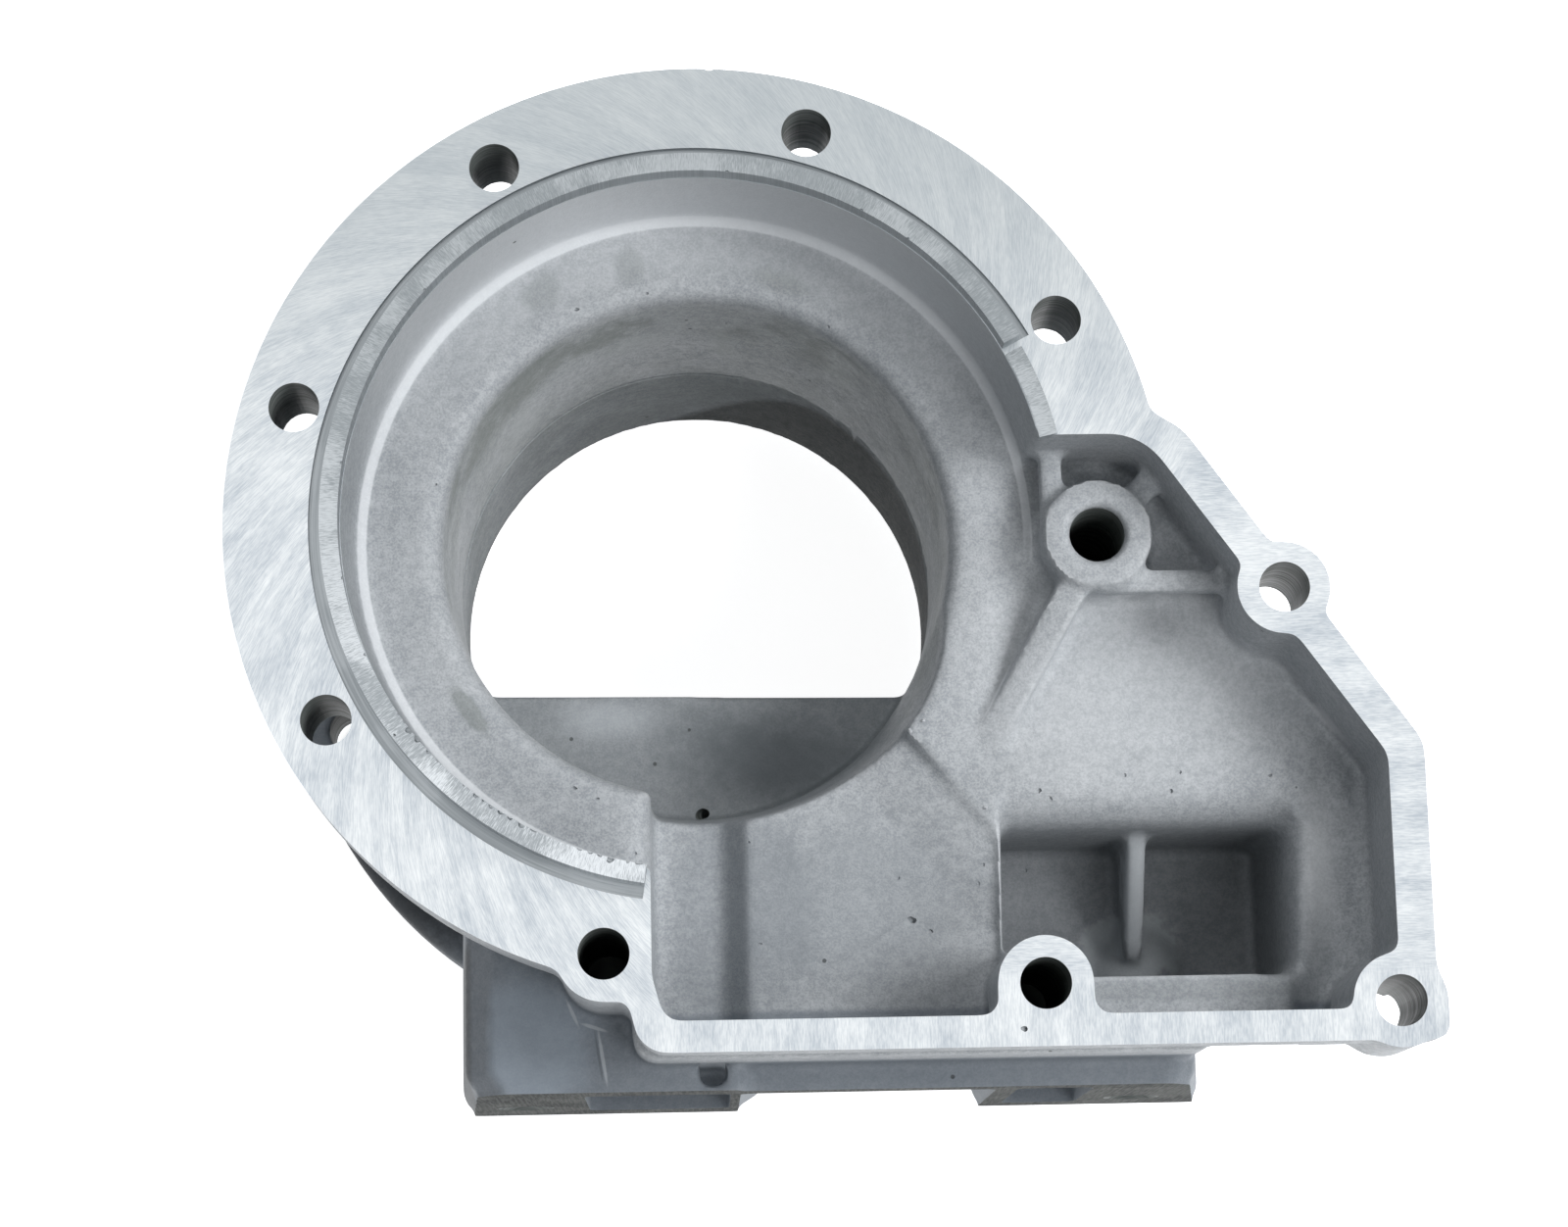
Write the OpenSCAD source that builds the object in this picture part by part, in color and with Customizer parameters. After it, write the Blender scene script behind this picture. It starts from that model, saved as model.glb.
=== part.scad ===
// Extension housing of a gearbox, one bare aluminium casting.
// Z runs along the main bore. Z = 0 is the rear flange face, on which the
// casting stands, and the front flange faces up. X points to the side
// pocket and -Y to the two mounting feet. "Depth" is measured down from the
// front face. All sizes are in millimetres.

/* [Overall] */
// Distance between the rear face and the front face
total_h = 143; // [138:1:165]
// Thickness of the cast walls behind the pocket
wall_t = 6; // [4.5:0.5:8]

/* [Front flange] */
// Radius of the round rim
rim_r = 102; // [101:0.5:108]
// Thickness of the lip along the pocket's rim
rim_lip_t = 10; // [8:0.5:12]
// How far the pocket's outer wall stands back behind that lip
rim_lip_w = 1.8; // [1:0.1:2.5]
// Thickness of the flange plate
flange_t = 16; // [12:0.5:20]
// Depth to the back of the bolt bosses
boss_d = 28; // [24:0.5:36]
// Radius of the circle that carries the rim bolts
rim_bolt_r = 90.5; // [89.5:0.25:91.5]
// Angle of the first rim bolt
rim_bolt_turn = 28.5; // [27:0.5:30]
// Number of rim bolts, 45 degrees apart
rim_bolts = 5; // [4:1:5]
// Radius of the nine flange bolt holes
bolt_hole_r = 5.5; // [4.5:0.1:6]
// Radius of the bolt bosses in the pocket rim
boss_r = 10.2; // [9:0.1:11]
// Distance down to the floor of the bolt that stands left of the pocket
left_boss_d = 52; // [46:1:60]

/* [Pilot ring] */
// Inner radius of the raised ring at the face
ring_in_r = 76.8; // [76:0.1:77.5]
// Radial width of the ring
ring_w = 4; // [3:0.25:5]
// How far the ring stands proud of the face
ring_h = 5; // [3:0.25:6]
// Angle at which the tall ring starts
ring_from = 28.5; // [26:0.5:34]
// Angle at which the ring ends above the pocket
ring_to = 261.4; // [250:0.2:262]
// Width of the relief groove outside the ring
relief_w = 2.8; // [2:0.1:3]
// Depth of the relief groove
relief_d = 1; // [0.5:0.1:2]

/* [Main bore] */
// Radius of the front counterbore at its floor
counter_r = 75.3; // [74.5:0.1:76]
// Depth of the counterbore floor
counter_d = 24.5; // [22:0.5:26]
// Radius of the throat in the plane of the oil dam
throat_r = 55.5; // [53:0.25:56.5]
// Radius of the throat at the rear face
rear_bore_r = 57; // [56.5:0.1:59]
// Radius of the machined register in the rear face
register_r = 60; // [59:0.25:62]
// Length of that register
register_len = 5; // [4.5:0.5:12]
// Radius of the throat's lip where it opens into the pocket
sump_lip_r = 62.3; // [61:0.1:64]
// Radius that rounds the throat's front lip
lip_r = 4.5; // [3:0.25:6]
// Depth of the front of the oil dam
dam_d = 74; // [70:1:80]
// Thickness of the oil dam
dam_t = 6; // [4:0.5:9]
// Height of the oil dam's straight edge below the axis
dam_drop = 26; // [20:1:34]
// Tilt of the dam's straight edge
dam_turn = -1; // [-2:0.5:1]
// Radius of the drain hole at the foot of the dam
drain_r = 1.4; // [1:0.1:2]

/* [Pocket] */
// Outer face of the pocket's side wall, from the axis
side_x = 155.4; // [152:0.5:160]
// Outer face of the pocket's bottom wall, below the axis
bottom_y = 115.2; // [113:0.5:118]
// Width of the side wall and the sloping wall
rim_wall = 7.9; // [6:0.1:9]
// Width of the bottom wall
bottom_wall = 6.7; // [5:0.1:8]
// Width of the pocket's left wall at the bottom
left_wall = 5; // [4:0.25:6]
// Steepness of the sloping wall, in degrees
slope_a = 54.9; // [52:0.1:57]
// Height of the corner where the side wall turns into the slope
slope_y = 51.6; // [48:0.2:56]
// Height of the pocket's top edge above the axis
pocket_top = 17.3; // [15:0.1:18.5]
// Left edge of the pocket, from the axis
pocket_left = 10.8; // [9.5:0.1:11.5]
// Depth of the pocket's shallow floor
pocket_d = 27; // [24:0.5:29]
// Depth of the plateau beside the throat
plateau_d = 32; // [30:0.5:36]
// Depth of the oil channel beside the plateau
channel_d = 38; // [36:0.5:44]
// Width of the oil channel at its floor
channel_w = 15.5; // [12:0.5:18]

/* [Recess] */
// Left edge of the deep recess
recess_x = 66.2; // [64:0.2:68]
// Width of the deep recess
recess_w = 64.5; // [60:0.5:68]
// Top edge of the deep recess, below the axis
recess_top = 64; // [62:0.5:67]
// Height of the deep recess
recess_h = 34; // [30:0.5:36]
// Depth of the recess floor
recess_d = 70; // [66:1:75]
// How much the recess's right wall leans in from its top to the floor
recess_draft = 2.4; // [0.5:0.1:4]
// Radius that rounds the recess's top edge
recess_edge_r = 10; // [6:0.5:12]
// Radius that rounds the recess's right edge
recess_side_r = 8; // [5:0.5:10]
// Thickness of the web that divides the recess
web_t = 4.6; // [3:0.2:6]
// Place of that web, right of the axis
web_x = 98.6; // [96:0.2:100]
// Depth of the web's front edge at its top end
web_d = 46; // [42:1:52]

/* [Shaft boss] */
// Place of the shaft boss, right of the axis
shaft_x = 88.5; // [88:0.1:90]
// Place of the shaft boss, below the axis
shaft_y = 1.8; // [0.5:0.1:3]
// Outer radius of the shaft boss
shaft_boss_r = 12.2; // [11:0.1:12.8]
// Radius of the shaft hole
shaft_r = 6.1; // [5:0.1:6.8]
// Depth of the shaft boss's face
shaft_d = 13; // [10:0.5:15]
// Length of the shaft hole
shaft_len = 52; // [46:1:58]
// Depth of the ribs round the shaft boss
rib_d = 15.5; // [15.5:0.25:18]
// Width of the ribs round the shaft boss
rib_w = 5; // [4:0.25:6]
// Width of the long rib that runs out along the bore
long_rib_w = 6.7; // [5:0.1:8]
// Depth of the ledge round those ribs
ledge_d = 19; // [18.5:0.5:22]
// Depth of the dark cells between those ribs
cell_d = 45; // [40:1:50]

/* [Rear flange] */
// Radius of the rear flange
rear_r = 101.5; // [99:0.5:105]
// Thickness of the rear flange
rear_t = 16; // [12:0.5:20]
// Radius of the circle that carries the rear bolts
rear_bolt_r = 89; // [87:0.25:90]
// Angle of the first rear bolt
rear_bolt_turn = 16; // [14:0.5:18]
// Number of rear bolts
rear_bolts = 8; // [6:1:8]
// Radius of the bosses round the rear bolts
rear_boss_r = 12; // [10.5:0.25:12.25]
// Height of those bosses over the flange
rear_boss_h = 4; // [2:0.5:7]
// Wall of the neck between the two flanges
neck_wall = 8; // [6:0.5:10]
// Thickness of the webs between the two flanges
brace_t = 6; // [4:0.5:7]

/* [Feet] */
// Height of the feet's soles below the axis
sole_y = 121; // [119.5:0.5:126]
// Left side of the left foot
foot_left_x = 52.5; // [50:0.5:56]
// Width of the left foot
foot_left_w = 59; // [54:0.5:62]
// Left side of the right foot
foot_right_x = 64.2; // [62:0.5:67]
// Width of the right foot
foot_right_w = 44.1; // [42:0.1:50]
// How far the right foot flares out towards the rear
foot_flare = 9; // [6:0.5:11]
// Depth of the feet's front ends
foot_d = 32; // [30:0.5:36]
// How far the right foot and the beam between the feet stand back from the left foot's front
beam_set = 4; // [2:0.5:7]
// Thickness of that beam
beam_t = 8; // [5:0.5:12]
// Length of the feet along the bore
foot_len = 73; // [66:1:78]
// Radius of the threaded holes in the soles
foot_hole_r = 5.4; // [4.5:0.1:6.2]
// Depth at which those holes sit
foot_hole_d = 80; // [76:1:84]
// Distance of the left foot's hole from the axis
foot_hole_left = 41; // [39:0.5:43]
// Distance between the two threaded holes
foot_hole_gap = 140; // [138:0.5:142]
// Length of the threaded holes
foot_hole_len = 26; // [20:0.5:30]
// Radius of the domed boss round the right foot's hole
foot_boss_r = 14.2; // [13:0.2:15]

/* [Hidden] */
$fn = 96;
// small overlap with which cuts run past a face
past = 1;
// corner radii of the front outline
side_corner_r = 8;
top_corner_r = 12;
inner_top_r = 14;
inner_side_r = 5;
left_corner_r = 7;
inner_left_r = 4;
foot_fillet_r = 3;

// the two boss centres in the pocket rim, the one on the slope and the one at the left
bottom_boss = [72.4, 13.3 - bottom_y];
corner_boss = [side_x - 7.8, 8.3 - bottom_y];
slope_boss = [127, -17.25];
left_boss = [-20.9, -94.1];

// direction of the sloping wall, and a point where it meets a level line
slope_dir = [-cos(slope_a), sin(slope_a)];
side_corner = [side_x, -slope_y];
function on_slope(p, y) = [p[0] + (y - p[1]) * slope_dir[0] / slope_dir[1], y, 0];
// the same corner, moved in by the width of the wall
inner_x = side_x - rim_wall;
inner_corner = [inner_x, -slope_y - rim_wall * tan((90 - slope_a) / 2)];
top_corner = on_slope(side_corner, 18.2);
inner_top = on_slope(inner_corner, pocket_top);
inner_bottom = bottom_wall - bottom_y;
shelf_y = -shaft_y - shaft_boss_r - 0.8;

function unit(v) = v / norm(v);
// points along the arc of radius r that rounds the corner q between p and s
function corner(p, q, s, r, n = 8) =
    let(u = unit(p - q), v = unit(s - q))
    let(half = acos(u * v) / 2)
    let(c = q + unit(u + v) * r / sin(half))
    let(a = q + u * r / tan(half) - c, b = q + v * r / tan(half) - c)
    let(a0 = atan2(a[1], a[0]), a1 = atan2(b[1], b[0]))
    let(turn = a1 - a0 > 180 ? a1 - a0 - 360 : a1 - a0 < -180 ? a1 - a0 + 360 : a1 - a0)
    [for (i = [0 : n]) c + r * [cos(a0 + turn * i / n), sin(a0 + turn * i / n)]];
// outline with the corners [x, y, r] rounded
function rounded(pts) = [
    for (i = [0 : len(pts) - 1])
        let(p = pts[(i + len(pts) - 1) % len(pts)], q = pts[i], s = pts[(i + 1) % len(pts)])
        each (q[2] > 0
            ? corner([p[0], p[1]], [q[0], q[1]], [s[0], s[1]], q[2])
            : [[q[0], q[1]]])
];

// outline of the pocket's rim, drawn in by w, without the round rim and the bosses
function lobe_outline(w) = [
    [0, 0, 0],
    [left_boss[0], left_boss[1] + boss_r, 0],
    [left_boss[0], left_boss[1] - boss_r, 0],
    [-pocket_left - left_wall, left_boss[1] - boss_r, 0],
    [-pocket_left - left_wall / 2, w - bottom_y, left_corner_r],
    [corner_boss[0] + boss_r - 0.2 - w, w - bottom_y, 3],
    [corner_boss[0] + boss_r - 0.2 - w, corner_boss[1], 0],
    [side_x - w, corner_boss[1] + boss_r - 2.5, 0],
    [side_corner[0] - w, side_corner[1] - w * tan((90 - slope_a) / 2), side_corner_r],
    [top_corner[0] - w, top_corner[1] - w * tan((90 - slope_a) / 2), top_corner_r],
    [top_corner[0] - 20, top_corner[1] + 12 - w, 0]
];
// the trough between the recess and the side wall: radius, slope, lower end's axis and place
trough_r = 10;
trough_slope = 6.5;
trough_top = 50;
trough_d = pocket_d - trough_r + (bottom_y - trough_top) * tan(trough_slope);
trough_x = inner_x - sqrt(pow(trough_r, 2) - pow(pocket_d - trough_d, 2)) - 0.3;
// outline of the pocket inside that rim, with its lower bosses left standing
pocket_pts = [
    [0, -20, 0],
    [-pocket_left, -50, 0],
    [-pocket_left, 9.5 + inner_bottom, 2],
    [2.6 - pocket_left, inner_bottom, inner_left_r],
    [bottom_boss[0] - boss_r, inner_bottom, foot_fillet_r],
    [bottom_boss[0] - boss_r, bottom_boss[1] + boss_r, boss_r - 0.01],
    [bottom_boss[0] + boss_r, bottom_boss[1] + boss_r, boss_r - 0.01],
    [bottom_boss[0] + boss_r, inner_bottom, foot_fillet_r],
    [corner_boss[0] - boss_r, inner_bottom, 1.5],
    [corner_boss[0] - boss_r, corner_boss[1] + boss_r, boss_r - 0.3],
    [inner_x, corner_boss[1] + boss_r, 0],
    [inner_corner[0], inner_corner[1], inner_side_r],
    [inner_top[0], inner_top[1], inner_top_r],
    [60, pocket_top, 0],
    [60, 0, 0]
];
// the crease where the shallow floor turns down to the plateau
crease = [[48, -46], [recess_x - 0.5, -recess_top - 2]];

// direction and shift of the cone that widens the throat towards the crease
flare_turn = -50;
flare_shift = 21.8;

// direction in which the counterbore's wall gives way to the pocket
bore_side_turn = asin(pocket_top / counter_r);

// places its child at a depth below the front face
module at_depth(d) {
    translate([0, 0, total_h - d]) children();
}

// a plan shape, from one depth down to another
module between(d0, d1) {
    translate([0, 0, total_h - d1]) linear_extrude(d1 - d0) children();
}

module rim_places() {
    for (i = [0 : rim_bolts - 1])
        rotate(rim_bolt_turn + 45 * i) translate([rim_bolt_r, 0]) children();
}

module rear_places() {
    for (i = [0 : rear_bolts - 1])
        rotate(rear_bolt_turn + 360 / rear_bolts * i) translate([rear_bolt_r, 0]) children();
}

module foot_places() {
    for (x = [-foot_hole_left, foot_hole_gap - foot_hole_left])
        translate([x, -sole_y, total_h - foot_hole_d]) rotate([-90, 0, 0]) children();
}

// the round flange, the rim of the pocket and the bolt bosses behind them
module front_flange() {
    between(0, flange_t) circle(r = rim_r);
    between(0, rim_lip_t) polygon(rounded(lobe_outline(0)));
    between(0, pocket_d + wall_t) polygon(rounded(lobe_outline(rim_lip_w)));
    between(pocket_d, trough_d + trough_r + wall_t) polygon(rounded([
        [recess_x + recess_w, inner_bottom - wall_t + 1.5, 0],
        [inner_x + wall_t - 1.5, inner_bottom - wall_t + 1.5, 4],
        [inner_x + wall_t - 1.5, -slope_y, 6],
        [recess_x + recess_w, -slope_y, 0]
    ]));
    between(0, boss_d) {
        rim_places() circle(r = rim_r - rim_bolt_r - 0.5);
        translate(corner_boss) circle(r = boss_r - 0.2);
        translate(slope_boss) circle(r = boss_r - 0.2);
    }
    between(0, left_boss_d) translate(left_boss) circle(r = boss_r);
}

// the wall round the counterbore, the neck and the rear flange, turned as one
module barrel() {
    neck_r = rear_bore_r + neck_wall;
    bell_r = counter_r + 8;
    bell_d = counter_d + 8;
    rotate_extrude() difference() {
        polygon([
            [0, 0],
            [rear_r - 1.5, 0],
            [rear_r, 1.5],
            [rear_r, rear_t - 2],
            [rear_r - 2, rear_t],
            [neck_r + 8, rear_t],
            [neck_r, rear_t + 8],
            [neck_r, total_h - bell_d - 16],
            [bell_r - 3, total_h - bell_d],
            [bell_r, total_h - bell_d + 4],
            [bell_r, total_h - flange_t / 2],
            [0, total_h - flange_t / 2]
        ]);
        translate([neck_r + 8, rear_t + 8]) circle(r = 8);
    }
    translate([0, 0, rear_t - past])
        linear_extrude(rear_boss_h + past) rear_places() circle(r = rear_boss_r);
}

// webs that brace the two flanges against each other
module braces() {
    low = rear_t / 2;
    high = total_h - flange_t / 2;
    mid_r = rear_bore_r + neck_wall + 8;
    for (a = [51, 96, 141, 186])
        rotate(a) rotate([90, 0, 0]) translate([0, 0, -brace_t / 2]) linear_extrude(brace_t)
            polygon([
                [rear_bore_r + 2, low],
                [rear_r - 4, low],
                [rear_r - 4, rear_t + 2],
                [mid_r, rear_t + 30],
                [mid_r, high - 50],
                [rim_r - 6, total_h - flange_t - 2],
                [rim_r - 6, high],
                [rear_bore_r + 2, high]
            ]);
}

// the closed case behind the pocket: sump, recess and the cells by the shaft boss
module case_back() {
    left = -pocket_left - left_wall + 0.5;
    right = recess_x + recess_w + wall_t;
    foot_x = foot_right_x + foot_right_w;
    low = -recess_top - recess_h - wall_t;
    between(flange_t, foot_d + foot_len) polygon(rounded([
        [left, -30, 0],
        [left, -bottom_y, 5],
        [foot_x, -bottom_y, 0],
        [foot_x, low, 3],
        [right, low, 6],
        [right, wall_t + recess_edge_r - recess_top, 8],
        [recess_x - wall_t, wall_t + recess_edge_r - recess_top, 0],
        [40, -30, 0]
    ]));
    between(flange_t, cell_d + wall_t) polygon(rounded([
        [40, pocket_top + wall_t, 0],
        [40, shelf_y - 6, 0],
        [slope_boss[0] - 9, shelf_y - 6, 0],
        [slope_boss[0] - 9, slope_boss[1] + 10, 4],
        [inner_top[0] + 4, pocket_top + wall_t, 8]
    ]));
    between(pocket_d, shaft_d + shaft_len + wall_t)
        translate([shaft_x, -shaft_y]) circle(r = shaft_boss_r);
}

// the two feet with their machined soles
module feet() {
    x0 = -foot_left_x;
    x1 = x0 + foot_left_w;
    x2 = foot_right_x;
    x3 = x2 + foot_right_w;
    // each foot flares towards the rear and has sloped corners in front
    hull() for (e = [
        [foot_d, -6.5, 0.5],
        [foot_d + 7, 0, 6.5],
        [foot_d + foot_len - past, foot_flare / 2, 6.5]
    ])
        between(e[0], e[0] + past) polygon(rounded([
            [x0 - e[1], -50, 0],
            [x0 - e[1], -sole_y, 6],
            [x1, -sole_y, 1],
            [x1 + e[2], -sole_y + e[2] * 0.6, 0],
            [x1 + e[2], -60, 0]
        ]));
    hull() for (e = [
        [foot_d + beam_set, -4.5],
        [foot_d + beam_set + 5, 0.5],
        [foot_d + foot_len - 4, foot_flare]
    ])
        between(e[0], e[0] + past) polygon(rounded([
            [x2 - 3, -bottom_y + 10, 0],
            [x2, -sole_y, 4],
            [x3 + e[1], -sole_y, 4],
            [x3 + e[1], -bottom_y + 10, 0]
        ]));
    // the beam that ties the two feet together
    between(foot_d + beam_set, foot_d + beam_set + beam_t)
        translate([x1, 0.6 - sole_y]) square([x2 - x1 + 8, sole_y - bottom_y + 4]);
}

// the raised ring round the bore mouth, tall over most of the turn
module pilot_ring() {
    at_depth(flange_t / 2) rotate(ring_from) rotate_extrude(angle = ring_to - ring_from)
        translate([ring_in_r - 1, 0]) square([ring_w + 1, flange_t / 2 + ring_h]);
    at_depth(flange_t / 2) rotate(ring_from - 16) rotate_extrude(angle = 15)
        translate([ring_in_r - 1, 0]) square([ring_w + 1, flange_t / 2 + 0.6]);
}

// bore, counterbore and rounded lip, cut from the front face to the rear face
module bore_cut() {
    rotate_extrude() difference() {
        union() {
            polygon([
                [0, -past],
                [register_r, -past],
                [register_r, register_len],
                [rear_bore_r, register_len],
                [throat_r, total_h - dam_d],
                [throat_r + 1, total_h - counter_d - lip_r],
                [throat_r + 1, total_h - counter_d],
                [counter_r, total_h - counter_d],
                [ring_in_r, total_h],
                [ring_in_r, total_h + ring_h + past],
                [0, total_h + ring_h + past]
            ]);
            translate([throat_r + 0.5, total_h - counter_d - lip_r]) square([lip_r + 0.5, lip_r]);
        }
        translate([throat_r + 1 + lip_r, total_h - counter_d - lip_r]) circle(r = lip_r);
        translate([counter_r - 2.5, total_h - counter_d - past]) difference() {
            square([2.5 + past, 2.5 + past]);
            translate([0, 2.5 + past]) circle(r = 2.5);
        }
    }
}

// cutter along Y that rounds off the edge at x = 0 of a floor on its +X side
module edge_cutter(r) {
    difference() {
        translate([-past, -r]) square([r + past, r + past]);
        translate([r, -r]) circle(r = r);
    }
}

// plan of the pocket, round the boss on the slope
module pocket_plan() {
    difference() {
        polygon(rounded(pocket_pts));
        translate(slope_boss) circle(r = boss_r + 0.1);
    }
}

// the sector in which the counterbore floor lies open to the pocket
module bore_side() {
    polygon([
        [0, 0],
        crease[0] * 1.02,
        crease[1],
        [side_x, -recess_top],
        [side_x, side_x * tan(bore_side_turn)]
    ]);
}

// plan of the shaft boss and the ribs that leave it towards the pocket's wall
module rib_plan() {
    translate([shaft_x, -shaft_y]) circle(r = shaft_boss_r);
    translate([shaft_x - shaft_boss_r, -shaft_y]) square([rib_w, 40]);
    translate([shaft_x, -shaft_y]) rotate(45) translate([0, -rib_w / 2 - 0.5])
        square([60, rib_w + 1]);
    translate([shaft_x, shelf_y]) square([60, rib_w]);
}

// everything that is hollow in front: pocket, plateau, channel and side trough
module pocket_cut() {
    between(-past, ledge_d) pocket_plan();
    between(-past, pocket_d) difference() {
        pocket_plan();
        translate([0, shelf_y]) square([side_x, bottom_y]);
        intersection() {
            circle(r = counter_r + 4);
            bore_side();
        }
    }
    // the counterbore floor falls away towards the shallow floor and the crease
    intersection() {
        at_depth(counter_d - 0.25) rotate(bore_side_turn) rotate([3, 0, 0])
            translate([0, -side_x, 0]) cube([side_x, side_x, total_h]);
        rotate_extrude() polygon([
            [counter_r - 13, total_h - counter_d + 0.35],
            [counter_r - 13, total_h + past],
            [side_x, total_h + past],
            [side_x, total_h - pocket_d],
            [counter_r + 4.2, total_h - pocket_d]
        ]);
        between(-past, pocket_d + past) intersection() {
            bore_side();
            pocket_plan();
        }
    }
    // the plateau, which rises towards the crease
    intersection() {
        between(pocket_d - past, plateau_d) polygon(rounded([
            [-pocket_left, -40, 0],
            [-pocket_left, 9.5 + inner_bottom, 2],
            [2.6 - pocket_left, inner_bottom, inner_left_r],
            [crease[1][0], inner_bottom, 2],
            [crease[1][0], crease[1][1], 3],
            [crease[0][0], crease[0][1], 2],
            [30, -30, 0]
        ]));
        at_depth(pocket_d + 1.2) translate([crease[0][0], crease[0][1], 0])
            rotate(atan2(crease[1][1] - crease[0][1], crease[1][0] - crease[0][0]))
                rotate([14, 0, 0]) translate([-rim_r, -side_x, 0])
                    cube([2 * rim_r, 2 * side_x, total_h]);
    }
    // the channel, and the open lip through which the throat drains into the pocket
    channel_x = channel_w - pocket_left;
    hull() {
        between(channel_d - 1, channel_d) polygon([
            [0.6 - pocket_left, -throat_r + 8],
            [0.6 - pocket_left, inner_bottom + 1],
            [channel_x, inner_bottom + 1],
            [channel_x, -throat_r + 8]
        ]);
        between(plateau_d - 1, plateau_d) polygon([
            [-pocket_left, -throat_r + 8],
            [-pocket_left, inner_bottom],
            [channel_x + 5.5, inner_bottom],
            [channel_x + 5.5, -throat_r + 8]
        ]);
    }
    intersection() {
        rotate_extrude() polygon([
            [0, total_h - counter_d],
            [sump_lip_r + 1.2, total_h - counter_d],
            [sump_lip_r, total_h - plateau_d],
            [throat_r, total_h - dam_d],
            [0, total_h - dam_d]
        ]);
        between(0, dam_d + past) polygon([
            [0, 0],
            [-pocket_left, -40],
            [-pocket_left, inner_bottom],
            [crease[1][0], inner_bottom],
            crease[1],
            crease[0]
        ]);
    }
    // the throat widens little by little towards the crease
    at_depth(dam_d) rotate(flare_turn) translate([flare_shift, 0, 0])
        cylinder(
            r1 = throat_r - flare_shift - 0.3,
            r2 = sump_lip_r + 1.2 - flare_shift - 0.3,
            h = dam_d - counter_d + 0.5
        );
    // the edge over the channel at the end of the counterbore floor
    at_depth(counter_d) translate([-pocket_left, -throat_r + 4, 0]) rotate([90, 0, 0])
        mirror([1, 0, 0]) linear_extrude(counter_r - throat_r + 1.5) edge_cutter(5);
    // the trough beside the recess, which deepens towards the bottom wall
    intersection() {
        between(-past, trough_d + trough_r + past) pocket_plan();
        at_depth(pocket_d - trough_r) translate([trough_x, -trough_top, 0])
            rotate([90 + trough_slope, 0, 0])
                translate([0, 0, -5]) cylinder(r = trough_r, h = bottom_y);
    }
}

// the deep recess with its rounded edges and its leaning walls
module recess_cut() {
    x1 = recess_x + recess_w;
    y0 = -recess_top - recess_h;
    hull() for (e = [[pocket_d - past, 0], [recess_d - past, recess_draft]])
        between(e[0], e[0] + past) polygon(rounded([
            [recess_x, y0, 2],
            [x1 - e[1], y0, 3],
            [x1 - e[1], -recess_top - e[1] / 4, 3],
            [recess_x, -recess_top - e[1] / 4, 2]
        ]));
    at_depth(pocket_d) {
        translate([recess_x, -recess_top, 0]) rotate([90, 0, 90])
            linear_extrude(recess_w) edge_cutter(recess_edge_r);
        translate([x1, -recess_top, 0]) rotate([90, 0, 0])
            linear_extrude(recess_h) edge_cutter(recess_side_r);
        translate([x1, -recess_top, 0]) intersection() {
            rotate_extrude() intersection() {
                edge_cutter(recess_edge_r);
                square([recess_edge_r, 3 * recess_edge_r], center = false);
            }
            cube(recess_edge_r);
        }
    }
}

// cores that lighten the casting from behind and from below
module rear_cores() {
    between(plateau_d + wall_t, foot_d + foot_len + past)
        polygon(rounded([
            [channel_w - pocket_left + 5.5 + wall_t, inner_bottom, 4],
            [recess_x - wall_t, inner_bottom, 4],
            [recess_x - wall_t, -rear_bore_r - neck_wall - 6, 4],
            [channel_w - pocket_left + 5.5 + wall_t, -rear_bore_r - neck_wall - 6, 4]
        ]));
    between(recess_d + wall_t, foot_d + foot_len + past)
        polygon(rounded([
            [recess_x + 0.7, -recess_top - recess_h, 4],
            [recess_x + recess_w, -recess_top - recess_h, 4],
            [recess_x + recess_w, recess_edge_r - recess_top, 4],
            [recess_x + 0.7, recess_edge_r - recess_top, 4]
        ]));
    slot_h = sole_y - bottom_y + bottom_wall / 2 + past;
    for (x = [[26 - foot_left_x, foot_left_w - 26.5], [foot_right_x + 5.5, 17]])
        translate([x[0], -sole_y - past, total_h - foot_hole_d - 11])
            cube([x[1], slot_h, foot_len - 26]);
    // the small pocket at the corner of the left foot
    between(foot_d - past, foot_d + 14)
        translate([foot_left_w - foot_left_x - 7.5, 1.2 - sole_y]) square([5.8, 7]);
}

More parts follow.
